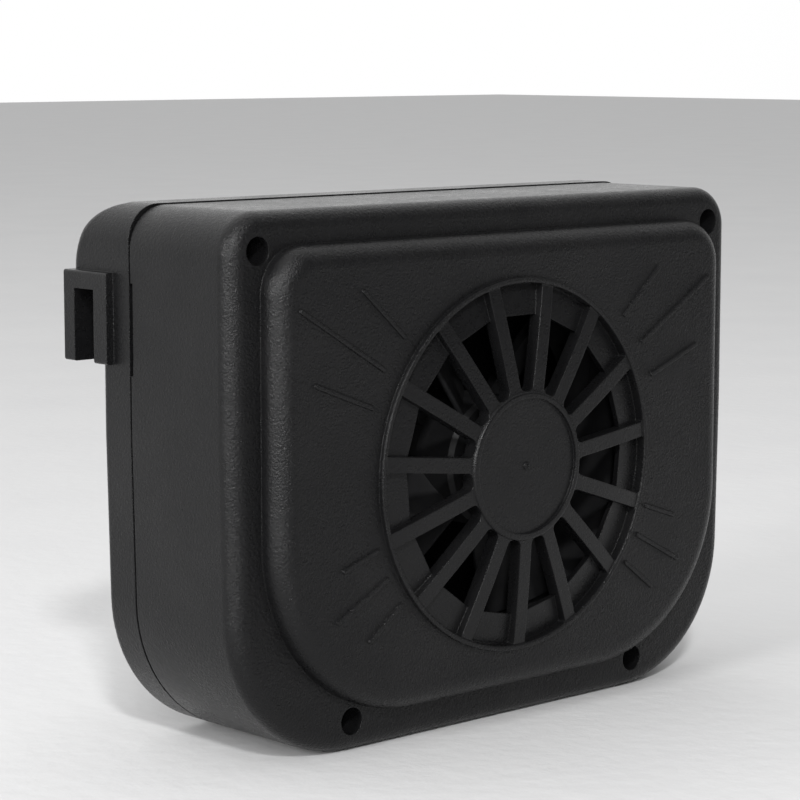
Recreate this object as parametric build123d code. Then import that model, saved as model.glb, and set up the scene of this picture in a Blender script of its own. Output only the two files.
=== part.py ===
from build123d import *

import math
import os

# A solar ventilator that hangs on the top edge of a car's side window. The cabin side carries a round
# fan grille, the bridge spans the pane, and the outdoor hood carries the solar panel and the outlet.
#
# Depths are measured along +Y from the flat border of the front shell. Z is up from the flat base.
# Each finished piece is moved back by FRONT_TO_CENTRE, which puts the origin at the centre of the base.

# Body
BODY_WIDTH = 160.0
BODY_HEIGHT = 121.6
REAR_HEIGHT = 121.9
SHOULDER_HEIGHT = 70.0
BASE_HALF_WIDTH = 78.6
BASE_CORNER_RADIUS = 34.0
FRONT_TOP_RADIUS = 9.5
REAR_TOP_RADIUS = 8.2
WALL = 2.0
FRONT_EDGE_RADIUS = 4.0
FRONT_SHELL_DEPTH = 34.2
REAR_SHELL_START = 34.8
REAR_FACE_DEPTH = 45.2
REAR_EDGE_RADIUS = 2.0
TONGUE_REACH = 3.5
TONGUE_THICKNESS = 1.1
TONGUE_CLEARANCE = 0.2

# Raised panel on the front shell
PANEL_HALF_WIDTH = 71.6
PANEL_BOTTOM = 8.4
PANEL_TOP = 114.1
PANEL_RISE = 6.05
PANEL_TOP_RADIUS = 10.5
PANEL_BOTTOM_RADIUS = 41.0
PANEL_EDGE_RADIUS = 5.0

# Grille
FAN_HEIGHT = 60.8
RING_OUTER_RADIUS = 43.2
GRILLE_RADIUS = 41.9
RING_RISE = 1.2
SPOKE_COUNT = 15
SPOKE_WIDTH = 3.5
SPOKE_DEPTH = 3.4
DOME_RADIUS = 350.0
DOME_FRONT = -9.3
HUB_RADIUS = 17.3
HUB_FRONT = -9.5
HUB_THICKNESS = 3.8
DISC_RADIUS = 15.7
DISC_RECESS = 0.8
NUB_RADIUS = 0.9
NUB_RISE = 0.4
GAP_ROOT_RADIUS = 1.5
GAP_TIP_RADIUS = 0.5
LEDGE_APOTHEM = 34.4
LEDGE_INNER_DEPTH = -5.9
LEDGE_OUTER_DEPTH = -4.7
LEDGE_THICKNESS = 1.5
SECTOR = 360.0 / SPOKE_COUNT

# Thin ribs on the panel: angle above or below level, inner radius, outer radius
RIB_WIDTH = 1.2
RIB_RISE = 0.5
RIB_ROOT = 0.5
UPPER_RIBS = [(20.8, 48.0, 66.0), (31.2, 48.5, 77.0), (42.0, 47.5, 64.5)]
LOWER_RIBS = [(-18.5, 45.5, 57.0), (-27.7, 45.5, 63.0), (-37.0, 45.5, 58.0)]

# Bridge over the pane, and the side collars
BRIDGE_BOTTOM = 86.3
BRIDGE_DEPTH = 56.0
BRIDGE_BACK_RADIUS = 15.0
BRIDGE_SIDE_RADIUS = 2.5
SLOT_FRONT = 45.2
SLOT_BACK = 52.4
SLOT_TOP = 102.7
COLLAR_FRONT = 40.5
COLLAR_BACK = 56.2
COLLAR_TOP = 106.7
COLLAR_RISE = 2.0

# Outdoor hood
HOOD_HALF_WIDTH = 56.0
HOOD_BOTTOM = 22.0
HOOD_DEPTH = 70.5
HOOD_CHIN_DEPTH = 64.0
HOOD_CHIN_HEIGHT = 27.0
HOOD_BROW_HEIGHT = 76.0
HOOD_TOP_DEPTH = 63.0
HOOD_TOP_HEIGHT = 113.0
HOOD_LIP_DEPTH = 53.0
HOOD_LIP_HEIGHT = 117.8
FLAP_WALL_BACK = 54.4
AIRWAY_HALF_WIDTH = 52.0
AIRWAY_TOP = 114.5
LOUVRE_ROWS = 5
LOUVRE_COLUMNS = 3
LOUVRE_WIDTH = 29.0
LOUVRE_HEIGHT = 3.6
LOUVRE_PITCH = 6.2
LOUVRE_FIRST = 8.5
LOUVRE_COLUMN_PITCH = 32.0

# Solar panel
SOLAR_WIDTH = 104.0
SOLAR_HEIGHT = 42.0
SOLAR_CENTRE = 51.5
POCKET_FLOOR = 67.7
CELL_COUNT = 10
CELL_WIDTH = 9.8
CELL_HEIGHT = 38.0
CELL_PITCH = 10.2

# Fan duct, impeller and motor
DUCT_INNER_RADIUS = 41.0
DUCT_OUTER_RADIUS = 42.6
DUCT_FRONT = -2.6
DUCT_BACK = 17.0
DUCT_SCREW_OFFSET = 36.0
IMPELLER_RADIUS = 39.3
IMPELLER_HUB_RADIUS = 15.5
IMPELLER_FRONT = 0.4
IMPELLER_BACK = 12.2
BLADE_COUNT = 4
BLADE_THICKNESS = 1.4
BLADE_MIDDLE = 6.6
MOTOR_RADIUS = 12.2
MOTOR_FRONT = 14.5
MOTOR_BACK = 28.5
CUP_CLEARANCE = 0.1
SHAFT_RADIUS = 1.0
RUNNING_CLEARANCE = 0.03
LEAD_RADIUS = 0.7

# Fasteners
TOP_SCREW = (72.2, 113.2)
BOTTOM_SCREW = (46.0, 7.2)
RECESS_RADIUS = 3.1
RECESS_FLOOR = 22.0

# Small details
RIM_OVERLAP = 0.4
HUB_EDGE_RADIUS = 0.7
RIM_EDGE_RADIUS = 0.4
RIB_EDGE_RADIUS = 0.35
COLLAR_EDGE_RADIUS = 0.6
HOOD_CORNER_RADIUS = 8.0
LATCH_GAP = 0.7
FIT_GAP = 0.15
SKIN_GAP = 0.05
PRESS_GAP = 0.02
BOSS_GAP = 0.2

# Screw recesses and bosses
RECESS_TUBE_RADIUS = 4.8
SCREW_HOLE_RADIUS = 1.7
BOSS_RADIUS = 3.6
TOP_BOSS_BACK = 50.0
SCREW_PILOT_RADIUS = 1.45
SCREW_PILOT_DEPTH = 14.0
HOUSING_SCREW_LENGTH = 13.0
HOUSING_HEAD_RADIUS = 2.7
DUCT_HEAD_RADIUS = 2.4
MOTOR_HEAD_RADIUS = 1.8
HEAD_HEIGHT = 0.7
CROSS_LENGTH = 1.1
CROSS_WIDTH = 0.27
DUCT_BOSS_RADIUS = 3.5
DUCT_EAR_FRONT = 8.0
EAR_THICKNESS = 2.5
EAR_WIDTH = 8.0
PILOT_RADIUS = 1.15
DUCT_PILOT_DEPTH = 9.0
DUCT_SCREW_LENGTH = 9.0
HOOD_SCREW_X = 49.0
HOOD_SCREW_HEIGHTS = (27.5, 79.5)
HOOD_HEAD_RADIUS = 2.5
HOOD_HEAD_DEPTH = 1.2
HOOD_HOLE_RADIUS = 1.4
HOOD_BOSS_RADIUS = 3.2
HOOD_BOSS_BACK = 67.4
HOOD_SCREW_LENGTH = 9.0

# Pocket, louvres and solar layers
POCKET_THICKNESS = 1.5
POCKET_SHELF = 10.0
LOUVRE_TILT = 35.0
LOUVRE_BLADE = 4.5
LOUVRE_BLADE_THICKNESS = 1.2
BACKING_THICKNESS = 1.2
CELL_THICKNESS = 0.3
RIBBON_WIDTH = 1.3
RIBBON_THICKNESS = 0.1

# Impeller and motor details
CUP_LIP = 1.5
CUP_BACK = 24.0
CUP_OUTER_RADIUS = 14.0
CUP_MOUTH_RADIUS = 4.5
STRUT_WIDTH = 5.0
STRUT_DEPTH = 3.0
MOTOR_SCREW_X = 6.5
MOTOR_HOLE_RADIUS = 1.2
MOTOR_TAP_RADIUS = 1.05
MOTOR_SCREW_LENGTH = 3.2
BLADE_SECTIONS = [(14.0, 14.0, 44.0), (40.5, 25.0, 27.0)]
BLADE_START = -24.0
HUB_WALL = 1.8
HUB_CHAMFER = 1.0
HUB_BOSS_RADIUS = 3.4
HUB_BOSS_BACK = 10.5
SHAFT_FRONT = 2.6
SHAFT_BACK = 31.8
CAN_WALL = 0.8
BUSH_RADIUS = 2.2
FRONT_BUSH_FRONT = 13.8
FRONT_BUSH_BACK = 17.0
REAR_BUSH_FRONT = 28.7
REAR_BUSH_BACK = 32.2
CAP_FRONT = 27.0
CAP_BACK = 30.5
CAP_SPIGOT_RADIUS = 11.3
CAP_BOSS_RADIUS = 3.6
TERMINAL_X = 5.5
TERMINAL_THICKNESS = 0.5
TERMINAL_WIDTH = 3.0
TERMINAL_BACK = 36.5
MAGNET_OUTER_RADIUS = 11.3
MAGNET_INNER_RADIUS = 9.0
MAGNET_HALF_HEIGHT = 8.0
MAGNET_FRONT = 17.0
MAGNET_BACK = 26.0
POLE_COUNT = 3
CORE_RADIUS = 8.4
SHOE_RADIUS = 6.4
CORE_HUB_RADIUS = 2.8
NECK_WIDTH = 2.6
POLE_GAP = 1.6
CORE_FRONT = 18.4
CORE_BACK = 24.4
COIL_HALF_WIDTH = 2.6
COIL_OVERHANG = 1.2
COMMUTATOR_RADIUS = 2.6
SLIT_WIDTH = 0.4

# Leads from the solar panel to the motor
JOINT_RADIUS = 1.8
BEAD_RADIUS = 1.2
BEAD_HEIGHT = 1.4
LEAD_START = (8.0, 65.6, 56.0)
LEAD_ROUTE = [(8.0, 60.0, 56.0), (8.0, 60.0, 98.0), (8.0, 52.0, 111.5), (8.0, 36.0, 111.5)]
LEAD_RADII = [5.0, 30.0, 9.0, 8.0]
LEAD_END = (5.5, 35.5, 63.8)
BELOW = (Align.CENTER, Align.CENTER, Align.MAX)

FRONT_TO_CENTRE = (HUB_FRONT + HOOD_DEPTH) / 2
FAN_AXIS = Pos(0, 0, FAN_HEIGHT)
SIDES = (-1, 1)


def slab(outline, front, back):
    """An X-Z outline extruded from one depth to another."""
    return Pos(0, back, 0) * extrude(Plane.XZ * outline, back - front)


def prism(profile, half_width):
    """A Y-Z profile extruded evenly to both sides of the middle."""
    return extrude(Plane.YZ * profile, half_width, both=True)


def block(low, high):
    """A box from its lowest to its highest corner."""
    size = [b - a for a, b in zip(low, high)]
    return Pos(*low) * Box(*size, align=Align.MIN)


def rod(x, z, radius, front, back):
    """A round rod along Y."""
    return slab(Pos(x, z) * Circle(radius), front, back)


def turned(points):
    """A solid of revolution about the fan axis from points of radius and depth."""
    face = make_face(Polyline(*points, close=True))
    return FAN_AXIS * revolve(face, Axis.Y)


def ring(outer, inner, front, back):
    """A tube about the fan axis, or a disc when it has no inner radius."""
    outline = Circle(outer) - Circle(inner) if inner else Circle(outer)
    return FAN_AXIS * slab(outline, front, back)


def mirrored(shape):
    """The same shape on the other side of the middle plane."""
    return mirror(shape, Plane.YZ)


def round_corners(face, low_radius, high_radius):
    """Round the two lowest and the two highest corners of an outline."""
    face = fillet(face.vertices().sort_by(Axis.Y)[:2], low_radius)
    return fillet(face.vertices().sort_by(Axis.Y)[-2:], high_radius)


def body_outline(height, top_radius):
    """Upright sides that taper in below the shoulder, with generous base corners."""
    half = BODY_WIDTH / 2
    right = [(BASE_HALF_WIDTH, 0), (half, SHOULDER_HEIGHT), (half, height)]
    left = [(-x, z) for x, z in reversed(right)]
    return round_corners(Polygon(*right, *left, align=None), BASE_CORNER_RADIUS, top_radius)


def front_outline():
    """Outline of the front shell."""
    return body_outline(BODY_HEIGHT, FRONT_TOP_RADIUS)


def rear_outline():
    """Outline of the rear shell, whose top stands a step above the front shell's."""
    return body_outline(REAR_HEIGHT, REAR_TOP_RADIUS)


def panel_outline():
    """Outline of the raised panel at the border plane."""
    size = (2 * PANEL_HALF_WIDTH, PANEL_TOP - PANEL_BOTTOM)
    face = Pos(0, PANEL_BOTTOM) * Rectangle(*size, align=(Align.CENTER, Align.MIN))
    return round_corners(face, PANEL_BOTTOM_RADIUS, PANEL_TOP_RADIUS)


def round_front(shape, radius):
    """Round every edge of the face nearest the cabin."""
    return fillet(shape.faces().sort_by(Axis.Y)[0].edges(), radius)


def dome_depth(radius):
    """Depth of the grille's domed front at a radius."""
    return DOME_FRONT + DOME_RADIUS - math.sqrt(DOME_RADIUS**2 - radius**2)


def screw_places():
    """The four places of the screws that join the shells."""
    return [(side * x, z) for x, z in (TOP_SCREW, BOTTOM_SCREW) for side in SIDES]


def duct_screw_places():
    """The four places of the screws that hold the fan duct."""
    step = DUCT_SCREW_OFFSET
    return [(x * step, FAN_HEIGHT + z * step) for x in SIDES for z in SIDES]


def grille_gaps():
    """The fifteen air gaps between the spokes, rounded at the hub."""
    spoke = Rectangle(SPOKE_WIDTH, GRILLE_RADIUS + 1, align=(Align.CENTER, Align.MIN))
    gaps = Circle(GRILLE_RADIUS) - Circle(HUB_RADIUS)
    for index in range(SPOKE_COUNT):
        gaps -= Rot(0, 0, SECTOR * (index + 0.5)) * spoke
    middle = (HUB_RADIUS + GRILLE_RADIUS) / 2
    roots = [corner for corner in gaps.vertices() if corner.center().length < middle]
    gaps = fillet(roots, GAP_ROOT_RADIUS)
    tips = [corner for corner in gaps.vertices() if corner.center().length > middle]
    return fillet(tips, GAP_TIP_RADIUS)


def grille():
    """Domed spokes and hub, the raised rim and the faceted ledge behind the spokes."""
    halfway = GRILLE_RADIUS / 2
    tip = GRILLE_RADIUS + RIM_OVERLAP
    front = ThreePointArc((0, DOME_FRONT), (halfway, dome_depth(halfway)), (tip, dome_depth(tip)))
    back = Pos(0, SPOKE_DEPTH) * front
    outline = [front, Line(front @ 1, back @ 1), back, Line(back @ 0, front @ 0)]
    spokes = FAN_AXIS * revolve(make_face(outline), Axis.Y)
    spokes -= FAN_AXIS * slab(grille_gaps(), -2 * PANEL_RISE, 0)

    hub = FAN_AXIS * slab(Circle(HUB_RADIUS), HUB_FRONT, HUB_FRONT + HUB_THICKNESS)
    middle = spokes + round_front(hub, HUB_EDGE_RADIUS)
    disc_floor = HUB_FRONT + DISC_RECESS
    middle -= ring(DISC_RADIUS, 0, HUB_FRONT - 1, disc_floor)
    middle += round_front(ring(NUB_RADIUS, 0, disc_floor - NUB_RISE, disc_floor + 1), NUB_RISE / 2)
    middle -= ring(NUB_RADIUS / 2, 0, disc_floor - 1, disc_floor - NUB_RISE / 4)

    rim_front = -PANEL_RISE - RING_RISE
    rim = ring(RING_OUTER_RADIUS, GRILLE_RADIUS, rim_front, LEDGE_OUTER_DEPTH + LEDGE_THICKNESS)
    rim = round_front(rim, RIM_EDGE_RADIUS)

    slope = (LEDGE_OUTER_DEPTH - LEDGE_INNER_DEPTH) / (GRILLE_RADIUS - LEDGE_APOTHEM)
    start = LEDGE_APOTHEM - 2
    start_depth = LEDGE_INNER_DEPTH - 2 * slope
    end_depth = LEDGE_OUTER_DEPTH + slope * RIM_OVERLAP
    ledge = turned([
        (start, start_depth),
        (tip, end_depth),
        (tip, end_depth + LEDGE_THICKNESS),
        (start, start_depth + LEDGE_THICKNESS),
    ])
    facets = Rot(0, 0, -90) * RegularPolygon(LEDGE_APOTHEM, SPOKE_COUNT, major_radius=False)
    ledge -= FAN_AXIS * slab(facets, -2 * PANEL_RISE, 0)
    return middle + rim + ledge


def panel_ribs():
    """Thin ribs that fan out from the grille towards the panel's four corners."""
    ribs = []
    for angle, inner, outer in UPPER_RIBS + LOWER_RIBS:
        middle = Pos((inner + outer) / 2, 0) * SlotOverall(outer - inner, RIB_WIDTH)
        rib = slab(Rot(0, 0, angle) * middle, -PANEL_RISE - RIB_RISE, RIB_ROOT - PANEL_RISE)
        rib = FAN_AXIS * round_front(rib, RIB_EDGE_RADIUS)
        ribs += [rib, mirrored(rib)]
    return ribs


def front_shell():
    """Cabin-side shell: border, raised panel, grille, screw recesses and duct bosses."""
    outline = front_outline()
    inside = offset(outline, -WALL)
    shell = round_front(slab(outline, 0, FRONT_SHELL_DEPTH), FRONT_EDGE_RADIUS)
    panel = round_front(slab(panel_outline(), -PANEL_RISE, WALL), PANEL_EDGE_RADIUS)
    shell += panel
    shell -= round_front(slab(inside, WALL, FRONT_SHELL_DEPTH + 1), FRONT_EDGE_RADIUS - WALL)
    hollow = slab(offset(panel_outline(), -WALL), WALL - PANEL_RISE, WALL + 1)
    shell -= round_front(hollow, PANEL_EDGE_RADIUS - WALL)

    for x, z in screw_places():
        shell += rod(x, z, RECESS_TUBE_RADIUS, WALL / 2, RECESS_FLOOR + WALL)
    shell -= ring(RING_OUTER_RADIUS, 0, -2 * PANEL_RISE, WALL)
    shell += grille()
    for rib in panel_ribs():
        shell += rib
    for x, z in screw_places():
        shell -= rod(x, z, RECESS_RADIUS, -1, RECESS_FLOOR)
        shell -= rod(x, z, SCREW_HOLE_RADIUS, RECESS_FLOOR - 1, RECESS_FLOOR + WALL + 1)
    for x, z in duct_screw_places():
        shell += rod(x, z, DUCT_BOSS_RADIUS, WALL / 2 - PANEL_RISE, DUCT_EAR_FRONT)
        shell -= rod(x, z, PILOT_RADIUS, DUCT_EAR_FRONT - DUCT_PILOT_DEPTH, DUCT_EAR_FRONT + 1)

    # The seam opens a little beside each collar, where the shells latch
    half = BODY_WIDTH / 2
    low = (half - WALL - 1, FRONT_SHELL_DEPTH - LATCH_GAP, BRIDGE_BOTTOM - WALL)
    high = (half + 1, FRONT_SHELL_DEPTH + 1, COLLAR_TOP - WALL)
    notch = block(low, high)
    shell -= notch
    shell -= mirrored(notch)
    return shell


def bridge_profile(inset=0.0):
    """Y-Z outline of the bridge, with its large rounded back."""
    low = (REAR_SHELL_START, BRIDGE_BOTTOM + inset)
    high = (BRIDGE_DEPTH - inset, REAR_HEIGHT - inset)
    face = Pos(*low) * Rectangle(high[0] - low[0], high[1] - low[1], align=Align.MIN)
    corner = face.vertices().sort_by(Axis.X)[-2:].sort_by(Axis.Y)[-1]
    return fillet(corner, BRIDGE_BACK_RADIUS - inset)


def bridge_block(outline, inset=0.0):
    """The bridge's outside, or its inside when inset by the wall."""
    shape = slab(outline, REAR_SHELL_START, BRIDGE_DEPTH - inset)
    return shape & prism(bridge_profile(inset), BODY_WIDTH)


def flap_wall():
    """Inner wall of the outdoor part, which faces the pane."""
    size = (2 * HOOD_HALF_WIDTH, BRIDGE_BOTTOM + WALL - HOOD_BOTTOM)
    face = Pos(0, HOOD_BOTTOM) * Rectangle(*size, align=(Align.CENTER, Align.MIN))
    face = fillet(face.vertices().sort_by(Axis.Y)[:2], HOOD_CORNER_RADIUS)
    return slab(face, SLOT_BACK, FLAP_WALL_BACK)


def rear_shell():
    """Rear half of the body, the bridge, the pane slot, the collars and the flap's inner wall."""
    outline = rear_outline()
    body = slab(outline, REAR_SHELL_START, REAR_FACE_DEPTH)
    body = fillet(body.faces().sort_by(Axis.Y)[-1].edges(), REAR_EDGE_RADIUS)
    bridge = bridge_block(outline)
    back_corners = bridge.edges().filter_by(Axis.Z).sort_by(Axis.Y)[-2:]
    body += fillet(back_corners, BRIDGE_SIDE_RADIUS)
    half = BODY_WIDTH / 2
    collar_low = (half - WALL, COLLAR_FRONT, BRIDGE_BOTTOM)
    collar_high = (half + COLLAR_RISE, COLLAR_BACK, COLLAR_TOP)
    collar = block(collar_low, collar_high)
    collar = fillet(collar.edges().filter_by(Axis.Y).sort_by(Axis.X)[-2:], COLLAR_EDGE_RADIUS)
    body += collar + mirrored(collar) + flap_wall()

    body -= slab(offset(outline, -WALL), REAR_SHELL_START - 1, REAR_FACE_DEPTH - WALL)
    airway = bridge_block(offset(outline, -WALL), WALL)
    body -= airway & block((-half, REAR_SHELL_START, SLOT_TOP + WALL), (half, BRIDGE_DEPTH, REAR_HEIGHT))
    width = AIRWAY_HALF_WIDTH
    body -= block((-width, FLAP_WALL_BACK, BRIDGE_BOTTOM), (width, BRIDGE_DEPTH + 1, SLOT_TOP + WALL))
    body -= block((-width, SLOT_BACK - WALL, SLOT_TOP + WALL), (width, BRIDGE_DEPTH + 1, AIRWAY_TOP))
    body -= block((-BODY_WIDTH, SLOT_FRONT, 0), (BODY_WIDTH, SLOT_BACK, SLOT_TOP))

    tongue_outside = offset(front_outline(), -WALL - TONGUE_CLEARANCE)
    tongue = tongue_outside - offset(tongue_outside, -TONGUE_THICKNESS)
    body += slab(tongue, REAR_SHELL_START - TONGUE_REACH, REAR_SHELL_START + WALL)
    body += slab(outline - offset(outline, -WALL - 1), REAR_SHELL_START, REAR_SHELL_START + WALL)

    boss_front = RECESS_FLOOR + WALL + BOSS_GAP
    for x, z in screw_places():
        top = z > FAN_HEIGHT
        body += rod(x, z, BOSS_RADIUS, boss_front, TOP_BOSS_BACK if top else REAR_FACE_DEPTH - WALL / 2)
    for x, z in screw_places():
        body -= rod(x, z, SCREW_PILOT_RADIUS, boss_front - 1, boss_front + SCREW_PILOT_DEPTH)
    for x, z in hood_screw_places():
        body -= rod(x, z, HOOD_HEAD_RADIUS, SLOT_BACK - 1, SLOT_BACK + HOOD_HEAD_DEPTH)
        body -= rod(x, z, HOOD_HOLE_RADIUS, SLOT_BACK, FLAP_WALL_BACK + 1)
    return body


def hood_screw_places():
    """The four screws that hold the hood, put in from the pane side."""
    return [(side * HOOD_SCREW_X, z) for z in HOOD_SCREW_HEIGHTS for side in SIDES]


def hood_profile(inset=0.0):
    """Y-Z outline of the outdoor hood; the inside reaches forward so that the hood is open there."""
    reach = BRIDGE_DEPTH - BRIDGE_BACK_RADIUS
    front = FLAP_WALL_BACK + FIT_GAP
    points = [
        (front, HOOD_BOTTOM),
        (HOOD_CHIN_DEPTH, HOOD_BOTTOM),
        (HOOD_DEPTH, HOOD_CHIN_HEIGHT),
        (HOOD_DEPTH, HOOD_BROW_HEIGHT),
        (HOOD_TOP_DEPTH, HOOD_TOP_HEIGHT),
        (HOOD_LIP_DEPTH, HOOD_LIP_HEIGHT),
        (reach, HOOD_TOP_HEIGHT),
        (front, BRIDGE_BOTTOM),
    ]
    face = Polygon(*points, align=None)
    back = face.vertices().sort_by(Axis.X)[-2:]
    face = fillet(back, HOOD_CORNER_RADIUS / 2)
    if inset:
        face = offset(face, -inset) + Pos(-inset - 1, 0) * offset(face, -inset)
    return face


def louvre_frame(row):
    """Middle of one louvre row on the hood's sloping face, and the face's lean from upright."""
    run = HOOD_DEPTH - HOOD_TOP_DEPTH
    rise = HOOD_TOP_HEIGHT - HOOD_BROW_HEIGHT
    length = math.hypot(run, rise)
    along = (LOUVRE_FIRST + row * LOUVRE_PITCH) / length
    lean = math.degrees(math.atan2(run, rise))
    return HOOD_DEPTH - run * along, HOOD_BROW_HEIGHT + rise * along, lean


def outdoor_hood():
    """Outdoor cover with its louvres, the pocket for the solar panel and four screw bosses."""
    hood = prism(hood_profile(), HOOD_HALF_WIDTH)
    hollow = prism(hood_profile(WALL), HOOD_HALF_WIDTH - WALL)
    pocket_block = block(
        (-SOLAR_WIDTH / 2 - WALL, POCKET_FLOOR - POCKET_THICKNESS, SOLAR_CENTRE - SOLAR_HEIGHT / 2 - WALL),
        (SOLAR_WIDTH / 2 + WALL, HOOD_DEPTH, SOLAR_CENTRE + SOLAR_HEIGHT / 2 + WALL),
    )
    hood -= hollow
    hood += pocket_block & prism(hood_profile(), HOOD_HALF_WIDTH)
    pocket = Pos(0, SOLAR_CENTRE) * Rectangle(SOLAR_WIDTH + 2 * FIT_GAP, SOLAR_HEIGHT + 2 * FIT_GAP)
    window = Pos(0, SOLAR_CENTRE) * Rectangle(SOLAR_WIDTH - POCKET_SHELF, SOLAR_HEIGHT - POCKET_SHELF)
    hood -= slab(pocket, POCKET_FLOOR, HOOD_DEPTH + 1)
    hood -= slab(window, POCKET_FLOOR - POCKET_THICKNESS - 1, POCKET_FLOOR + 1)
    for x, z in hood_screw_places():
        hood += rod(x, z, HOOD_BOSS_RADIUS, FLAP_WALL_BACK + FIT_GAP, HOOD_BOSS_BACK)
        hood -= rod(x, z, PILOT_RADIUS, FLAP_WALL_BACK, HOOD_BOSS_BACK - WALL)

    middle = (LOUVRE_COLUMNS - 1) / 2
    for row in range(LOUVRE_ROWS):
        depth, height, lean = louvre_frame(row)
        for column in range(LOUVRE_COLUMNS):
            spot = Pos((column - middle) * LOUVRE_COLUMN_PITCH, depth, height) * Rot(lean, 0, 0)
            hood -= spot * Box(LOUVRE_WIDTH, 3 * WALL, LOUVRE_HEIGHT)
            blade = Pos(0, -WALL / 2, LOUVRE_HEIGHT / 2) * Rot(LOUVRE_TILT, 0, 0)
            hood += spot * blade * Box(LOUVRE_WIDTH + 1, LOUVRE_BLADE, LOUVRE_BLADE_THICKNESS)

    outline = offset(rear_outline(), FIT_GAP)
    keep_out = bridge_block(rear_outline())
    for lift in (-FIT_GAP, FIT_GAP):
        hood -= Pos(0, FIT_GAP, lift) * keep_out
    hood -= slab(outline, 0, SLOT_BACK)
    return hood


def solar_backing():
    """Stiff backing board of the solar panel."""
    face = Pos(0, SOLAR_CENTRE) * Rectangle(SOLAR_WIDTH, SOLAR_HEIGHT)
    return slab(face, POCKET_FLOOR + SKIN_GAP, POCKET_FLOOR + BACKING_THICKNESS)


def cell_places():
    """Middles of the cell strips across the panel."""
    return [(index - (CELL_COUNT - 1) / 2) * CELL_PITCH for index in range(CELL_COUNT)]


def solar_cells():
    """Cell strips side by side on the backing."""
    front = POCKET_FLOOR + BACKING_THICKNESS
    strip = Rectangle(CELL_WIDTH, CELL_HEIGHT)
    return [slab(Pos(x, SOLAR_CENTRE) * strip, front, front + CELL_THICKNESS) for x in cell_places()]


def cell_ribbons():
    """A flat silver ribbon down the middle of each strip."""
    front = POCKET_FLOOR + BACKING_THICKNESS + CELL_THICKNESS
    strip = Rectangle(RIBBON_WIDTH, CELL_HEIGHT - 1)
    return [slab(Pos(x, SOLAR_CENTRE) * strip, front, front + RIBBON_THICKNESS) for x in cell_places()]


def solar_cover():
    """Clear cover over the cells, with softened edges."""
    front = POCKET_FLOOR + BACKING_THICKNESS + CELL_THICKNESS + RIBBON_THICKNESS + SKIN_GAP
    cover = slab(Pos(0, SOLAR_CENTRE) * Rectangle(SOLAR_WIDTH, SOLAR_HEIGHT), front, HOOD_DEPTH - FIT_GAP)
    return fillet(cover.faces().sort_by(Axis.Y)[-1].edges(), SKIN_GAP * 4)


def fan_duct():
    """Ring round the impeller, four struts and the cup that holds the motor."""
    duct = ring(DUCT_OUTER_RADIUS, DUCT_INNER_RADIUS, DUCT_FRONT, DUCT_BACK)
    reach = math.hypot(DUCT_SCREW_OFFSET, DUCT_SCREW_OFFSET)
    for x, z in duct_screw_places():
        turn = math.degrees(math.atan2(z - FAN_HEIGHT, x))
        web = Pos((DUCT_OUTER_RADIUS + reach) / 2, 0) * Rectangle(reach - DUCT_OUTER_RADIUS + 1, EAR_WIDTH)
        ear = web + Pos(reach, 0) * Circle(EAR_WIDTH / 2) - Circle(DUCT_OUTER_RADIUS - 0.5)
        ear -= Pos(reach, 0) * Circle(SCREW_HOLE_RADIUS)
        duct += FAN_AXIS * slab(Rot(0, 0, turn) * ear, DUCT_EAR_FRONT, DUCT_EAR_FRONT + EAR_THICKNESS)
        strut_length = DUCT_INNER_RADIUS - CUP_OUTER_RADIUS + 1.5
        strut = Pos((DUCT_INNER_RADIUS + CUP_OUTER_RADIUS) / 2, 0) * Rectangle(strut_length, STRUT_WIDTH)
        duct += FAN_AXIS * slab(Rot(0, 0, turn) * strut, DUCT_BACK - STRUT_DEPTH, DUCT_BACK)
    cup_front = MOTOR_FRONT - CUP_LIP
    duct += ring(CUP_OUTER_RADIUS, MOTOR_RADIUS + CUP_CLEARANCE, cup_front, CUP_BACK)
    duct += ring(CUP_OUTER_RADIUS, CUP_MOUTH_RADIUS, cup_front, MOTOR_FRONT)
    for side in SIDES:
        duct -= rod(side * MOTOR_SCREW_X, FAN_HEIGHT, MOTOR_HOLE_RADIUS, cup_front - 1, MOTOR_FRONT + 1)
    return duct


def blade():
    """One broad fan blade, steeper at the hub than at the tip."""
    sections = []
    for radius, chord, pitch in BLADE_SECTIONS:
        section = Plane(origin=(0, BLADE_MIDDLE, radius), x_dir=(1, 0, 0), z_dir=(0, 0, 1))
        sections.append(section * Rot(0, 0, pitch) * SlotOverall(chord, BLADE_THICKNESS))
    swept = loft(sections)
    return swept & slab(Circle(IMPELLER_RADIUS) - Circle(IMPELLER_HUB_RADIUS - 0.6), -20, 40)


def impeller():
    """Hub cup, shaft boss and four blades."""
    face_back = IMPELLER_FRONT + HUB_WALL
    hub = turned([
        (0, IMPELLER_FRONT),
        (IMPELLER_HUB_RADIUS - HUB_CHAMFER, IMPELLER_FRONT),
        (IMPELLER_HUB_RADIUS, IMPELLER_FRONT + HUB_CHAMFER),
        (IMPELLER_HUB_RADIUS, IMPELLER_BACK),
        (IMPELLER_HUB_RADIUS - HUB_WALL, IMPELLER_BACK),
        (IMPELLER_HUB_RADIUS - HUB_WALL, face_back),
        (HUB_BOSS_RADIUS, face_back),
        (HUB_BOSS_RADIUS, HUB_BOSS_BACK),
        (0, HUB_BOSS_BACK),
    ])
    for index in range(BLADE_COUNT):
        turn = Rot(0, BLADE_START + 360 / BLADE_COUNT * index, 0)
        hub += FAN_AXIS * turn * blade()
    hub -= ring(SHAFT_RADIUS + PRESS_GAP, 0, SHAFT_FRONT, HUB_BOSS_BACK + 1)
    return hub


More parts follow.
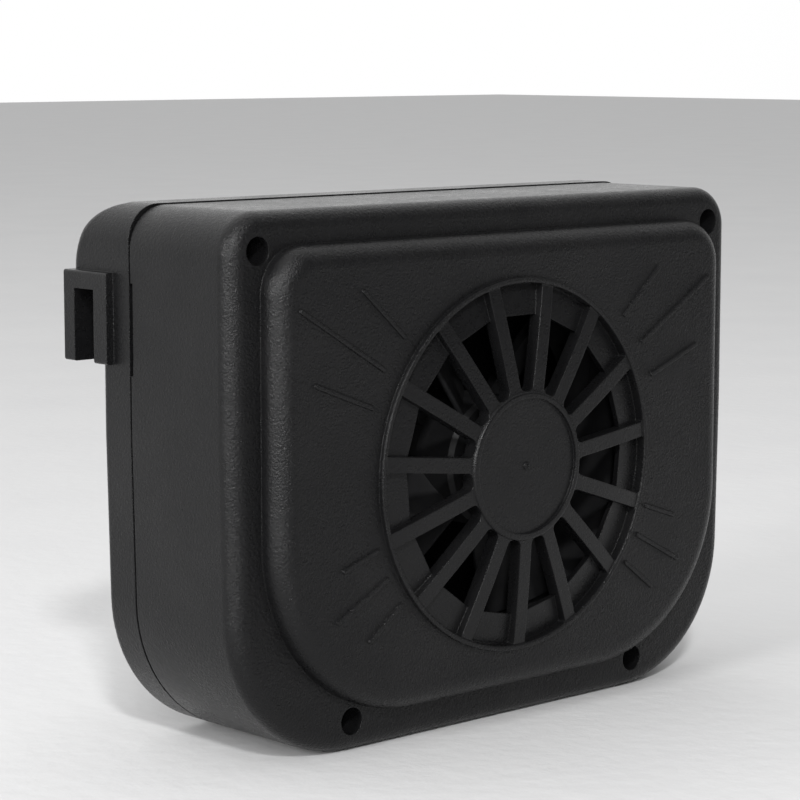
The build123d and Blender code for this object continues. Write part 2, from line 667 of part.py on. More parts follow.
def motor_can():
    """Drawn steel can, closed at the front."""
    can = ring(MOTOR_RADIUS, MOTOR_RADIUS - CAN_WALL, MOTOR_FRONT, MOTOR_BACK)
    can += ring(MOTOR_RADIUS, BUSH_RADIUS + PRESS_GAP, MOTOR_FRONT, MOTOR_FRONT + CAN_WALL)
    for side in SIDES:
        hole = rod(side * MOTOR_SCREW_X, FAN_HEIGHT, MOTOR_TAP_RADIUS, MOTOR_FRONT - 1, MOTOR_FRONT + 2)
        can -= hole
    return can


def motor_end_cap():
    """Plastic cap that closes the can and carries the rear bush and the terminals."""
    cap = ring(MOTOR_RADIUS, BUSH_RADIUS + PRESS_GAP, MOTOR_BACK, CAP_BACK)
    cap += ring(CAP_SPIGOT_RADIUS, CAP_SPIGOT_RADIUS - 1, CAP_FRONT, MOTOR_BACK)
    cap += ring(CAP_BOSS_RADIUS, BUSH_RADIUS + PRESS_GAP, CAP_BACK, REAR_BUSH_BACK)
    cap += ring(CAP_BOSS_RADIUS, 0, REAR_BUSH_BACK, REAR_BUSH_BACK + CAN_WALL)
    for side in SIDES:
        slit = Rectangle(TERMINAL_THICKNESS + BOSS_GAP, TERMINAL_WIDTH + BOSS_GAP)
        cap -= slab(Pos(side * TERMINAL_X, FAN_HEIGHT) * slit, CAP_FRONT, CAP_BACK + 1)
    return cap


def motor_terminals():
    """Two flat tabs through the end cap."""
    tab = Rectangle(TERMINAL_THICKNESS, TERMINAL_WIDTH)
    return [slab(Pos(side * TERMINAL_X, FAN_HEIGHT) * tab, MOTOR_BACK, TERMINAL_BACK) for side in SIDES]


def motor_brushes():
    """Two brushes that reach from the terminals to the commutator."""
    inner = COMMUTATOR_RADIUS + RUNNING_CLEARANCE
    low = (inner, CAP_FRONT, FAN_HEIGHT - 1)
    high = (TERMINAL_X + TERMINAL_THICKNESS / 2, MOTOR_BACK - SKIN_GAP, FAN_HEIGHT + 1)
    brush = block(low, high)
    return [brush, mirrored(brush)]


def bush(front, back):
    """Sintered bush that carries the shaft."""
    return ring(BUSH_RADIUS, SHAFT_RADIUS + RUNNING_CLEARANCE, front, back)


def motor_magnets():
    """Two curved magnets inside the can."""
    arc = Circle(MAGNET_OUTER_RADIUS) - Circle(MAGNET_INNER_RADIUS)
    arc &= Rectangle(2 * MOTOR_RADIUS, 2 * MAGNET_HALF_HEIGHT)
    shape = FAN_AXIS * slab(arc, MAGNET_FRONT, MAGNET_BACK)
    return list(shape.solids())


def motor_shaft():
    """Steel shaft from the impeller to the rear bush."""
    shaft = FAN_AXIS * slab(Circle(SHAFT_RADIUS), SHAFT_FRONT, SHAFT_BACK)
    return chamfer(shaft.edges().filter_by(GeomType.CIRCLE), SHAFT_RADIUS / 5)


def motor_armature_core():
    """Three-pole laminated core."""
    core = Circle(CORE_RADIUS) - (Circle(SHOE_RADIUS) - Circle(CORE_HUB_RADIUS))
    for index in range(POLE_COUNT):
        turn = Rot(0, 0, 360 / POLE_COUNT * index)
        core += turn * Pos(0, SHOE_RADIUS / 2 + 1) * Rectangle(NECK_WIDTH, SHOE_RADIUS)
        core -= turn * Pos(0, -CORE_RADIUS) * Rectangle(POLE_GAP, CORE_RADIUS)
    core -= Circle(SHAFT_RADIUS + PRESS_GAP)
    return FAN_AXIS * slab(core, CORE_FRONT, CORE_BACK)


def motor_windings():
    """One copper coil round the neck of each pole."""
    half = COIL_HALF_WIDTH
    gap = SKIN_GAP
    low_radius = CORE_HUB_RADIUS + gap
    high_radius = math.sqrt((SHOE_RADIUS - gap) ** 2 - half**2)
    outside_low = (-half, CORE_FRONT - COIL_OVERHANG, low_radius)
    outside = block(outside_low, (half, CORE_BACK + COIL_OVERHANG, high_radius))
    outside = fillet(outside.edges().filter_by(Axis.Z), COIL_OVERHANG / 2)
    neck = NECK_WIDTH / 2 + gap
    inside = block((-neck, CORE_FRONT - gap, 0), (neck, CORE_BACK + gap, CORE_RADIUS))
    coil = outside - inside
    return [FAN_AXIS * Rot(0, 360 / POLE_COUNT * index, 0) * coil for index in range(POLE_COUNT)]


def motor_commutator():
    """Copper collar with three slits, behind the core."""
    collar = Circle(COMMUTATOR_RADIUS) - Circle(SHAFT_RADIUS + PRESS_GAP)
    for index in range(POLE_COUNT):
        slit = Pos(0, COMMUTATOR_RADIUS) * Rectangle(SLIT_WIDTH, SLIT_WIDTH)
        collar -= Rot(0, 0, 360 / POLE_COUNT * index) * slit
    return FAN_AXIS * slab(collar, CORE_BACK + COIL_OVERHANG + SKIN_GAP, MOTOR_BACK - SKIN_GAP)


def cross_recess(head_radius):
    """Outline of the cross in a screw's head."""
    arm = Rectangle(head_radius * CROSS_LENGTH, head_radius * CROSS_WIDTH)
    return arm + Rot(0, 0, 90) * arm


def pan_screw(seat, head_radius, shank_radius, length):
    """Pan-head screw with a cross recess along +Y, its head's underside at the seat."""
    head_height = head_radius * HEAD_HEIGHT
    head = round_front(rod(0, 0, head_radius, seat - head_height, seat), head_height / 2)
    head -= slab(cross_recess(head_radius), seat - 2 * head_height, seat - head_height / 2)
    shank = rod(0, 0, shank_radius, seat, seat + length)
    tip = shank.faces().sort_by(Axis.Y)[-1].edges()
    return head + chamfer(tip, shank_radius / 2)


def housing_screws():
    """Four screws deep in the recesses of the front shell."""
    shank_radius = SCREW_PILOT_RADIUS - SKIN_GAP
    screw = pan_screw(RECESS_FLOOR, HOUSING_HEAD_RADIUS, shank_radius, HOUSING_SCREW_LENGTH)
    return [Pos(x, 0, z) * screw for x, z in screw_places()]


def duct_screws():
    """Four screws that hold the duct's ears to the front shell's bosses, put in from behind."""
    screw = Rot(0, 0, 180) * pan_screw(0, DUCT_HEAD_RADIUS, PILOT_RADIUS - SKIN_GAP, DUCT_SCREW_LENGTH)
    return [Pos(x, DUCT_EAR_FRONT + EAR_THICKNESS, z) * screw for x, z in duct_screw_places()]


def motor_screws():
    """Two small screws through the cup's lip into the motor's front."""
    shank_radius = MOTOR_TAP_RADIUS - SKIN_GAP
    screw = pan_screw(MOTOR_FRONT - CUP_LIP, MOTOR_HEAD_RADIUS, shank_radius, MOTOR_SCREW_LENGTH)
    return [Pos(side * MOTOR_SCREW_X, 0, FAN_HEIGHT) * screw for side in SIDES]


def hood_screws():
    """Four flat-head screws sunk in the flap's inner wall."""
    seat = SLOT_BACK + HOOD_HEAD_DEPTH
    screw = rod(0, 0, HOOD_HEAD_RADIUS - FIT_GAP, SLOT_BACK + FIT_GAP, seat)
    screw -= slab(cross_recess(HOOD_HEAD_RADIUS), SLOT_BACK - 1, SLOT_BACK + HOOD_HEAD_DEPTH / 2)
    screw += rod(0, 0, PILOT_RADIUS - SKIN_GAP, seat, seat + HOOD_SCREW_LENGTH)
    return [Pos(x, 0, z) * screw for x, z in hood_screw_places()]


def solder_joints():
    """Solder domes on the solar panel's back and on the motor's terminals."""
    back = POCKET_FLOOR + SKIN_GAP
    bead = Cylinder(BEAD_RADIUS, BEAD_HEIGHT, align=BELOW)
    joints = []
    for side in SIDES:
        pad = rod(side * LEAD_START[0], LEAD_START[2], JOINT_RADIUS, LEAD_START[1], back)
        joints.append(round_front(pad, JOINT_RADIUS / 3))
        joints.append(Pos(side * LEAD_END[0], LEAD_END[1], LEAD_END[2] - SKIN_GAP) * bead)
    return joints


def lead(side):
    """Insulated lead from the solar panel over the pane slot and down to the motor."""
    points = [(side * x, y, z) for x, y, z in [LEAD_START, *LEAD_ROUTE, LEAD_END]]
    path = FilletPolyline(*points, radius=LEAD_RADII)
    section = Plane(origin=path @ 0, z_dir=path % 0) * Circle(LEAD_RADIUS)
    return sweep(section, path=path)


PIECES = {
    "front_shell": front_shell,
    "rear_shell": rear_shell,
    "outdoor_hood": outdoor_hood,
    "solar_backing": solar_backing,
    "solar_cells": solar_cells,
    "cell_ribbons": cell_ribbons,
    "solar_cover": solar_cover,
    "fan_duct": fan_duct,
    "impeller": impeller,
    "motor_can": motor_can,
    "motor_end_cap": motor_end_cap,
    "motor_terminals": motor_terminals,
    "motor_brushes": motor_brushes,
    "motor_front_bush": lambda: bush(FRONT_BUSH_FRONT, FRONT_BUSH_BACK),
    "motor_rear_bush": lambda: bush(REAR_BUSH_FRONT, REAR_BUSH_BACK),
    "motor_magnets": motor_magnets,
    "motor_shaft": motor_shaft,
    "motor_armature_core": motor_armature_core,
    "motor_windings": motor_windings,
    "motor_commutator": motor_commutator,
    "housing_screws": housing_screws,
    "duct_screws": duct_screws,
    "motor_screws": motor_screws,
    "hood_screws": hood_screws,
    "solder_joints": solder_joints,
    "lead_positive": lambda: lead(1),
    "lead_negative": lambda: lead(-1),
}


def main():
    """Build every piece, move it to the part's frame and write its file."""
    os.makedirs("parts", exist_ok=True)
    to_frame = Pos(0, -FRONT_TO_CENTRE, 0)
    for name, build in PIECES.items():
        made = build()
        solids = made if isinstance(made, list) else [made]
        piece = Compound(label=name, children=[to_frame * solid for solid in solids])
        export_step(piece, os.path.join("parts", name + ".step"))


main()
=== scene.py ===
import bpy
import math
from mathutils import Euler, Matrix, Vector


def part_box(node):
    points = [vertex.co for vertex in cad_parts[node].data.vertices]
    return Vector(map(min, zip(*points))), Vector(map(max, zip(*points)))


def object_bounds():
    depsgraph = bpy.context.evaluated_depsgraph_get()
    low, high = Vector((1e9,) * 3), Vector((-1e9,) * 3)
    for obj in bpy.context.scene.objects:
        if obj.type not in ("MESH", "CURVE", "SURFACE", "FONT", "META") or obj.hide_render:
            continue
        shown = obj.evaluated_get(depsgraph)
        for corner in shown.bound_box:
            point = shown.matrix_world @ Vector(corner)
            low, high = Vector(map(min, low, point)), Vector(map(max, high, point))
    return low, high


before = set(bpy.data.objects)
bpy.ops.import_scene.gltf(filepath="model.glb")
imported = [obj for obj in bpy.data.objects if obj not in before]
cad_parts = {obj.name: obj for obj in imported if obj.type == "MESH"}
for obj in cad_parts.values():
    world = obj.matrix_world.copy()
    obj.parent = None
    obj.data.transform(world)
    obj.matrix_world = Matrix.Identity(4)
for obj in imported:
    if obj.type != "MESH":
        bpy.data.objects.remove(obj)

CAD_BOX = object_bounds()
MM = 0.001
BEVEL_SAMPLES = 4


# ---------------------------------------------------------------- node graph helper

def opaque(value):
    """Gives a colour of three parts its fourth, and leaves anything else alone."""
    is_colour = isinstance(value, tuple) and len(value) == 3
    return (*value, 1.0) if is_colour else value


def set_range(node, low, high, to_low, to_high):
    """The four ends of a Map Range node."""
    ends = {"From Min": low, "From Max": high, "To Min": to_low, "To Max": to_high}
    for name, number in ends.items():
        node.inputs[name].default_value = number


class Finish:
    """One procedural material: a Principled shader with named helpers for its texture nodes."""

    def __init__(self, name, roughness=0.5, metallic=0.0, specular=0.5, ior=1.5):
        self.material = bpy.data.materials.new(name)
        self.material.use_nodes = True
        self.tree = self.material.node_tree
        self.tree.nodes.clear()
        output = self.tree.nodes.new("ShaderNodeOutputMaterial")
        self.shader = self.tree.nodes.new("ShaderNodeBsdfPrincipled")
        self.tree.links.new(self.shader.outputs[0], output.inputs["Surface"])
        self.shader.inputs["Roughness"].default_value = roughness
        self.shader.inputs["Metallic"].default_value = metallic
        self.shader.inputs["Specular IOR Level"].default_value = specular
        self.shader.inputs["IOR"].default_value = ior
        self.place = self.tree.nodes.new("ShaderNodeTexCoord").outputs["Object"]

    def _feed(self, socket, value):
        if isinstance(value, bpy.types.NodeSocket):
            self.tree.links.new(value, socket)
        else:
            socket.default_value = value

    def set(self, socket, value):
        """A constant, a colour or a texture into one of the shader's sockets."""
        self._feed(self.shader.inputs[socket], opaque(value))

    def math(self, operation, a, b=0.0, c=0.0):
        node = self.tree.nodes.new("ShaderNodeMath")
        node.operation = operation
        for socket, value in zip(node.inputs, (a, b, c)):
            self._feed(socket, value)
        return node.outputs[0]

    def split(self, vector=None):
        """The three parts of a vector, by default a place on the object in metres."""
        node = self.tree.nodes.new("ShaderNodeSeparateXYZ")
        self._feed(node.inputs[0], vector or self.place)
        return node.outputs[0], node.outputs[1], node.outputs[2]

    def _textured(self, kind, size, stretch=(1, 1, 1)):
        """A texture node whose features are about as wide as size, in metres."""
        scale = self.tree.nodes.new("ShaderNodeMapping")
        self.tree.links.new(self.place, scale.inputs["Vector"])
        scale.inputs["Scale"].default_value = [factor / size for factor in stretch]
        node = self.tree.nodes.new(kind)
        self.tree.links.new(scale.outputs[0], node.inputs["Vector"])
        node.inputs["Scale"].default_value = 1.0
        return node

    def noise(self, size, detail=3.0, rough=0.5, stretch=(1, 1, 1), distortion=0.0):
        """Soft noise."""
        node = self._textured("ShaderNodeTexNoise", size, stretch)
        node.inputs["Detail"].default_value = detail
        node.inputs["Roughness"].default_value = rough
        node.inputs["Distortion"].default_value = distortion
        return node.outputs["Fac"]

    def cells(self, size, feature="F1", output="Distance"):
        """Voronoi cells."""
        node = self._textured("ShaderNodeTexVoronoi", size)
        node.feature = feature
        return node.outputs[output]

    def span(self, value, low, high, to_low=0.0, to_high=1.0, smooth=False):
        """Maps low..high to to_low..to_high, held at both ends."""
        node = self.tree.nodes.new("ShaderNodeMapRange")
        node.interpolation_type = "SMOOTHSTEP" if smooth else "LINEAR"
        self._feed(node.inputs["Value"], value)
        set_range(node, low, high, to_low, to_high)
        return node.outputs[0]

    def blend(self, factor, a, b):
        """Colour a where the factor is 0, b where it is 1."""
        node = self.tree.nodes.new("ShaderNodeMix")
        node.data_type = "RGBA"
        self._feed(node.inputs["Factor"], factor)
        colour_inputs = [socket for socket in node.inputs if socket.type == "RGBA"]
        for socket, value in zip(colour_inputs, (a, b)):
            self._feed(socket, opaque(value))
        return [socket for socket in node.outputs if socket.type == "RGBA"][0]

    def bump(self, height, depth, normal=None):
        """Relief of the given depth, in metres."""
        node = self.tree.nodes.new("ShaderNodeBump")
        node.inputs["Strength"].default_value = 1.0
        node.inputs["Distance"].default_value = depth
        self._feed(node.inputs["Height"], height)
        if normal is not None:
            self.tree.links.new(normal, node.inputs["Normal"])
        self.tree.links.new(node.outputs[0], self.shader.inputs["Normal"])

    def soft_edges(self, radius):
        """A normal that rounds sharp edges a little, for highlights."""
        node = self.tree.nodes.new("ShaderNodeBevel")
        node.samples = BEVEL_SAMPLES
        node.inputs["Radius"].default_value = radius
        return node.outputs[0]

    def facing(self, axis):
        """How far the surface faces along an axis of the object, from -1 to 1."""
        node = self.tree.nodes.new("ShaderNodeTexCoord")
        return self.split(node.outputs["Normal"])[axis]


def put(finish, *nodes):
    """Gives CAD nodes a finished material."""
    for name in nodes:
        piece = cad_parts[name]
        if not piece.material_slots:
            piece.data.materials.append(finish.material)
        for slot in piece.material_slots:
            slot.material = finish.material


# ---------------------------------------------------------------- materials

FAN_HEIGHT = (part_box("impeller")[0].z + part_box("impeller")[1].z) / 2
GRILLE_EDGE = 42 * MM
EDGE_BLEND = 0.5 * MM
SHEET_THICKNESS = 0.5 * MM
WEAVE_PITCH = 0.9 * MM
FINGER_PITCH = 1.9 * MM
WIRE_PITCH = 0.32 * MM


def from_fan_axis(m):
    """Distance of a place from the fan's axis, in metres."""
    x, _, z = m.split()
    rise = m.math("SUBTRACT", z, FAN_HEIGHT)
    return m.math("SQRT", m.math("ADD", m.math("POWER", x, 2.0), m.math("POWER", rise, 2.0)))


def shell_plastic(name):
    """Black moulded plastic with a spark-eroded grain, smoother on the sides and on the grille."""
    m = Finish(name, specular=0.22, ior=1.5)
    edges = m.soft_edges(0.35 * MM)
    grille = m.span(from_fan_axis(m), GRILLE_EDGE - EDGE_BLEND, GRILLE_EDGE + EDGE_BLEND, 0.40, 1.0)
    front = m.span(m.facing(1), -0.75, -0.25, 1.0, 0.55, smooth=True)
    grain = m.noise(0.42 * MM, detail=3.0, rough=0.6)
    pits = m.cells(0.6 * MM, feature="SMOOTH_F1")
    height = m.math("ADD", m.math("MULTIPLY", grain, 0.7), m.math("MULTIPLY", pits, 0.35))
    m.bump(m.math("MULTIPLY", height, m.math("MULTIPLY", front, grille)), 0.27 * MM, normal=edges)

    patches = m.noise(14 * MM, detail=3.0)
    fine = m.noise(1.1 * MM, detail=2.0)
    rough = m.math("ADD", m.span(patches, 0.3, 0.7, 0.26, 0.33), m.span(fine, 0.3, 0.7, -0.05, 0.05))
    m.set("Roughness", rough)

    dust = m.span(m.noise(22 * MM, detail=6.0, rough=0.65), 0.42, 0.72)
    specks = m.span(m.cells(3.1 * MM), 0.0, 0.05, 0.3, 0.0)
    tone = m.blend(dust, (0.0044, 0.0044, 0.0047), (0.0068, 0.0067, 0.0070))
    m.set("Base Color", m.blend(specks, tone, (0.06, 0.058, 0.055)))
    return m


def inner_plastic(name, dark, light, size=9 * MM):
    """Plain black moulding with faint flow marks."""
    m = Finish(name, specular=0.18, ior=1.5)
    edges = m.soft_edges(0.2 * MM)
    flow = m.noise(size, detail=4.0, distortion=1.2)
    fine = m.noise(0.8 * MM, detail=3.0)
    m.set("Base Color", m.blend(flow, dark, light))
    rough = m.math("ADD", m.span(flow, 0.3, 0.7, 0.48, 0.62), m.span(fine, 0.3, 0.7, -0.04, 0.04))
    m.set("Roughness", rough)
    m.bump(fine, 0.02 * MM, normal=edges)
    return m


def metal(name, colour, tarnish, roughness, spread, stretch=(1, 1, 1)):
    """Metal with fine marks, drawn out along the axes that have a small stretch."""
    m = Finish(name, metallic=1.0)
    edges = m.soft_edges(0.12 * MM)
    marks = m.noise(0.25 * MM, detail=3.0, stretch=stretch)
    stain = m.noise(4 * MM, detail=4.0, rough=0.6)
    m.set("Base Color", m.blend(m.span(stain, 0.35, 0.75), colour, tarnish))
    dull = m.span(stain, 0.3, 0.7, roughness, roughness + 0.12)
    m.set("Roughness", m.math("ADD", m.span(marks, 0.3, 0.7, -spread, spread), dull))
    m.bump(marks, 0.012 * MM, normal=edges)
    return m


def solar_cell():
    """Blue-black silicon with thin silver fingers and a faint crystal mottle."""
    m = Finish("cell_silicon_finish", ior=1.9)
    _, _, z = m.split()
    step = m.math("FRACT", m.math("DIVIDE", z, FINGER_PITCH))
    finger = m.span(m.math("ABSOLUTE", m.math("SUBTRACT", step, 0.5)), 0.035, 0.055, 1.0, 0.0)
    crystal = m.cells(3.4 * MM, output="Color")
    shade = m.split(crystal)[0]
    blue = m.blend(shade, (0.004, 0.007, 0.022), (0.010, 0.016, 0.042))
    m.set("Base Color", m.blend(m.math("MULTIPLY", finger, 0.55), blue, (0.42, 0.43, 0.44)))
    m.set("Roughness", m.math("ADD", m.span(shade, 0.0, 1.0, 0.18, 0.30), m.math("MULTIPLY", finger, 0.15)))
    m.bump(m.noise(0.6 * MM), 0.006 * MM)
    return m


def ribbon():
    """Flat tinned ribbon with solder ripples."""
    m = Finish("ribbon_silver_finish", metallic=1.0)
    ripple = m.noise(1.6 * MM, detail=2.0, stretch=(1, 1, 0.6))
    m.set("Base Color", m.blend(ripple, (0.52, 0.52, 0.51), (0.72, 0.72, 0.71)))
    m.set("Roughness", m.span(ripple, 0.3, 0.7, 0.22, 0.42))
    m.bump(ripple, 0.05 * MM)
    return m


def clear_cover():
    """Clear acrylic with hairline scuffs."""
    m = Finish("cover_clear_finish", ior=1.49)
    m.shader.inputs["Transmission Weight"].default_value = 1.0
    m.set("Base Color", (0.96, 0.98, 0.985))
    haze = m.noise(9 * MM, detail=4.0)
    hair = m.noise(0.35 * MM, detail=1.0, stretch=(0.04, 1, 1))
    scuff = m.span(hair, 0.66, 0.72, 0.0, 1.0)
    m.set("Roughness", m.math("ADD", m.span(haze, 0.3, 0.7, 0.015, 0.05), m.math("MULTIPLY", scuff, 0.05)))
    m.bump(hair, 0.002 * MM)
    return m


def board():
    """Dark green board with a faint glass weave."""
    m = Finish("backing_board_finish", ior=1.5)
    x, _, z = m.split()
    warp = m.math("SINE", m.math("MULTIPLY", x, 2 * math.pi / WEAVE_PITCH))
    weft = m.math("SINE", m.math("MULTIPLY", z, 2 * math.pi / WEAVE_PITCH))
    weave = m.math("MULTIPLY_ADD", m.math("MULTIPLY", warp, weft), 0.5, 0.5)
    m.set("Base Color", m.blend(weave, (0.008, 0.030, 0.016), (0.012, 0.042, 0.022)))
    m.set("Roughness", m.span(m.noise(5 * MM), 0.3, 0.7, 0.32, 0.46))
    m.bump(weave, 0.012 * MM)
    return m


def sintered(name, dark, light, metallic, size=0.3 * MM):
    """Pressed powder: grainy, with small open pores."""
    m = Finish(name, metallic=metallic)
    grain = m.noise(size, detail=4.0, rough=0.65)
    pores = m.cells(size * 1.6)
    m.set("Base Color", m.blend(m.span(grain, 0.3, 0.7), dark, light))
    m.set("Roughness", m.span(grain, 0.3, 0.7, 0.42, 0.62))
    m.bump(m.math("ADD", grain, m.math("MULTIPLY", pores, 0.5)), 0.03 * MM)
    return m


def laminations():
    """Stacked sheet steel: fine lines across the stack, with dark varnish between."""
    m = Finish("core_steel_finish", metallic=1.0)
    _, y, _ = m.split()
    step = m.math("FRACT", m.math("DIVIDE", y, SHEET_THICKNESS))
    line = m.span(m.math("ABSOLUTE", m.math("SUBTRACT", step, 0.5)), 0.38, 0.46, 0.0, 1.0)
    stain = m.noise(2 * MM, detail=4.0)
    steel = m.blend(stain, (0.26, 0.25, 0.24), (0.40, 0.39, 0.38))
    m.set("Base Color", m.blend(line, steel, (0.05, 0.04, 0.035)))
    m.set("Roughness", m.span(stain, 0.3, 0.7, 0.34, 0.5))
    m.bump(m.math("SUBTRACT", 1.0, line), 0.05 * MM)
    return m


def winding():
    """Enamelled copper wire, wound side by side round the pole's neck."""
    m = Finish("copper_winding_finish", metallic=1.0)
    turn = m.math("ABSOLUTE", m.math("SINE", m.math("MULTIPLY", from_fan_axis(m), math.pi / WIRE_PITCH)))
    stain = m.noise(1.2 * MM, detail=3.0)
    m.set("Base Color", m.blend(stain, (0.58, 0.20, 0.07), (0.78, 0.33, 0.13)))
    m.set("Roughness", m.span(turn, 0.0, 1.0, 0.42, 0.22))
    m.set("Coat Weight", 0.6)
    m.bump(turn, 0.12 * MM)
    return m


def insulation(name, dark, light):
    """Soft extruded lead insulation."""
    m = Finish(name, ior=1.48)
    drawn = m.noise(0.3 * MM, detail=2.0, stretch=(1, 0.12, 0.12))
    mottle = m.noise(3 * MM, detail=3.0)
    m.set("Base Color", m.blend(mottle, dark, light))
    m.set("Roughness", m.span(drawn, 0.3, 0.7, 0.30, 0.44))
    m.bump(drawn, 0.015 * MM)
    return m


def solder():
    """Bright solder with dull flux round its foot."""
    m = Finish("solder_finish", metallic=1.0)
    flux = m.noise(0.9 * MM, detail=4.0)
    m.set("Base Color", m.blend(m.span(flux, 0.5, 0.75), (0.66, 0.66, 0.65), (0.40, 0.34, 0.24)))
    m.set("Roughness", m.span(flux, 0.3, 0.7, 0.16, 0.42))
    m.bump(m.noise(0.5 * MM), 0.03 * MM)
    return m


put(shell_plastic("shell_plastic_finish"), "front_shell", "rear_shell")
put(shell_plastic("hood_plastic_finish"), "outdoor_hood")

DUCT_BLACK = ((0.007, 0.007, 0.0075), (0.011, 0.011, 0.0115))
IMPELLER_BLACK = ((0.006, 0.006, 0.0065), (0.010, 0.010, 0.0105))
NYLON = ((0.62, 0.60, 0.54), (0.72, 0.70, 0.64))
put(inner_plastic("duct_plastic_finish", *DUCT_BLACK), "fan_duct")
put(inner_plastic("impeller_plastic_finish", *IMPELLER_BLACK, 6 * MM), "impeller")
put(inner_plastic("end_cap_nylon_finish", *NYLON, 5 * MM), "motor_end_cap")

TURNED = (0.15, 1, 0.15)
CAN_STEEL = ((0.60, 0.59, 0.57), (0.46, 0.44, 0.41))
SHAFT_STEEL = ((0.68, 0.68, 0.69), (0.56, 0.56, 0.57))
ZINC = ((0.62, 0.60, 0.54), (0.44, 0.43, 0.40))
BLACK_OXIDE = ((0.06, 0.06, 0.065), (0.10, 0.095, 0.09))
BRASS = ((0.72, 0.56, 0.28), (0.55, 0.42, 0.24))
SPRING_BRONZE = ((0.70, 0.47, 0.26), (0.50, 0.34, 0.22))
COPPER = ((0.78, 0.42, 0.26), (0.50, 0.27, 0.18))
put(metal("can_steel_finish", *CAN_STEEL, 0.24, 0.05, TURNED), "motor_can")
put(metal("shaft_steel_finish", *SHAFT_STEEL, 0.14, 0.03, TURNED), "motor_shaft")
put(metal("zinc_screw_finish", *ZINC, 0.30, 0.06), "duct_screws", "motor_screws")
put(metal("black_screw_finish", *BLACK_OXIDE, 0.38, 0.08), "housing_screws", "hood_screws")
put(metal("terminal_brass_finish", *BRASS, 0.26, 0.06), "motor_terminals")
put(metal("brush_bronze_finish", *SPRING_BRONZE, 0.30, 0.06), "motor_brushes")
put(metal("commutator_copper_finish", *COPPER, 0.20, 0.05, TURNED), "motor_commutator")

BUSH_BRONZE = ((0.42, 0.27, 0.14), (0.62, 0.43, 0.24))
FERRITE = ((0.035, 0.035, 0.038), (0.065, 0.065, 0.07))
put(sintered("bush_bronze_finish", *BUSH_BRONZE, 1.0), "motor_front_bush", "motor_rear_bush")
put(sintered("magnet_ferrite_finish", *FERRITE, 0.2, 0.5 * MM), "motor_magnets")

put(laminations(), "motor_armature_core")
put(winding(), "motor_windings")
put(board(), "solar_backing")
put(solar_cell(), "solar_cells")
put(ribbon(), "cell_ribbons")
put(clear_cover(), "solar_cover")
put(solder(), "solder_joints")

LEAD_RED = ((0.34, 0.008, 0.008), (0.46, 0.014, 0.012))
LEAD_BLACK = ((0.012, 0.012, 0.012), (0.02, 0.02, 0.02))
put(insulation("lead_red_finish", *LEAD_RED), "lead_positive")
put(insulation("lead_black_finish", *LEAD_BLACK), "lead_negative")


# ---------------------------------------------------------------- floor, light and camera

FLOOR_SIZE = 12.0
LENS = 120.2
SENSOR_WIDTH = 36.0
CAMERA_PLACE = (-0.4317, -0.4637, 0.1557)
CAMERA_DIP = 0.131
CAMERA_TURN = -0.746


def floor():
    """A plain pale floor."""
    m = Finish("pale_floor", roughness=0.9, specular=0.2)
    soft = m.noise(60 * MM, detail=4.0)
    m.set("Base Color", m.blend(soft, (0.515, 0.515, 0.52), (0.56, 0.56, 0.56)))
    m.bump(m.noise(6 * MM, detail=4.0), 0.25 * MM)
    bpy.ops.mesh.primitive_plane_add(size=FLOOR_SIZE, location=(0, 0, CAD_BOX[0].z))
    plane = bpy.context.object
    plane.name = "studio_floor"
    plane.data.materials.append(m.material)


def softbox(name, place, aim_height, size, power):
    """A rectangular studio light, in metres and watts, that faces a point on the object's middle line."""
    data = bpy.data.lights.new(name, "AREA")
    data.shape = "RECTANGLE"
    data.size, data.size_y = size
    data.energy = power
    light = bpy.data.objects.new(name, data)
    bpy.context.scene.collection.objects.link(light)
    light.location = place
    aim = Vector((0, 0, aim_height)) - Vector(place)
    light.rotation_euler = aim.to_track_quat("-Z", "Y").to_euler()


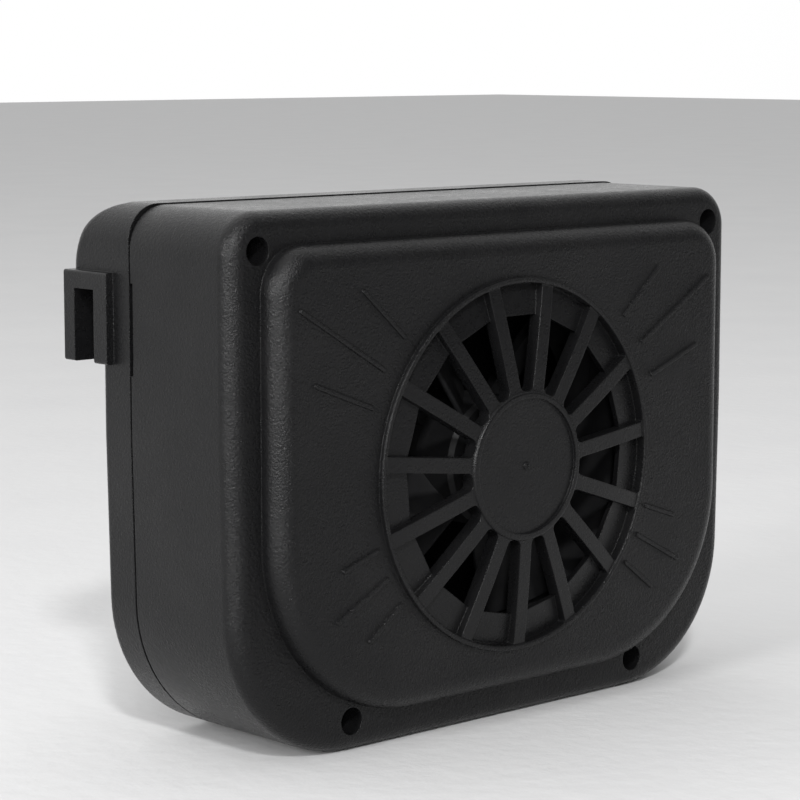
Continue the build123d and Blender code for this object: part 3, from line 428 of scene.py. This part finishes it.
def studio_world():
    """Soft surround: pale behind the object and overhead, dim in front of it."""
    world = bpy.data.worlds.new("studio")
    world.use_nodes = True
    tree = world.node_tree
    background = tree.nodes["Background"]
    place = tree.nodes.new("ShaderNodeTexCoord").outputs["Generated"]

    def glow(direction, low, high, weak, strong):
        """Light that grows from weak to strong towards a direction."""
        toward = tree.nodes.new("ShaderNodeVectorMath")
        toward.operation = "DOT_PRODUCT"
        tree.links.new(place, toward.inputs[0])
        toward.inputs[1].default_value = Vector(direction).normalized()
        ramp = tree.nodes.new("ShaderNodeMapRange")
        ramp.interpolation_type = "SMOOTHSTEP"
        tree.links.new(toward.outputs["Value"], ramp.inputs["Value"])
        set_range(ramp, low, high, weak, strong)
        return ramp.outputs[0]

    total = tree.nodes.new("ShaderNodeMath")
    total.operation = "ADD"
    tree.links.new(glow((-0.1, 1.0, 0.0), -0.75, 0.6, 0.04, 1.0), total.inputs[0])
    tree.links.new(glow((0.0, 0.1, 1.0), 0.25, 0.95, 0.0, 0.38), total.inputs[1])
    tree.links.new(total.outputs[0], background.inputs["Strength"])
    background.inputs["Color"].default_value = (1.0, 1.0, 1.0, 1.0)
    bpy.context.scene.world = world


def camera():
    """A long lens from the front left, a little above the object, looking slightly down."""
    data = bpy.data.cameras.new("camera")
    data.sensor_width = SENSOR_WIDTH
    data.lens = LENS
    data.clip_start = 0.01
    data.clip_end = 50.0
    rig = bpy.data.objects.new("camera", data)
    bpy.context.scene.collection.objects.link(rig)
    rig.location = CAMERA_PLACE
    rig.rotation_euler = Euler((math.pi / 2 - CAMERA_DIP, 0.0, CAMERA_TURN))
    bpy.context.scene.camera = rig


floor()
studio_world()
softbox("key_softbox", (-2.3, -0.3, 0.75), 0.06, (0.55, 0.9), 39)
softbox("top_softbox", (-0.1, 0.3, 1.3), 0.05, (1.2, 1.2), 1.5)
softbox("edge_softbox", (-1.4, -1.55, 0.72), 0.06, (0.16, 1.25), 24)
softbox("corner_softbox", (-0.95, -1.25, 1.2), 0.08, (0.16, 0.16), 24)
camera()
bpy.context.scene.view_settings.view_transform = "Standard"
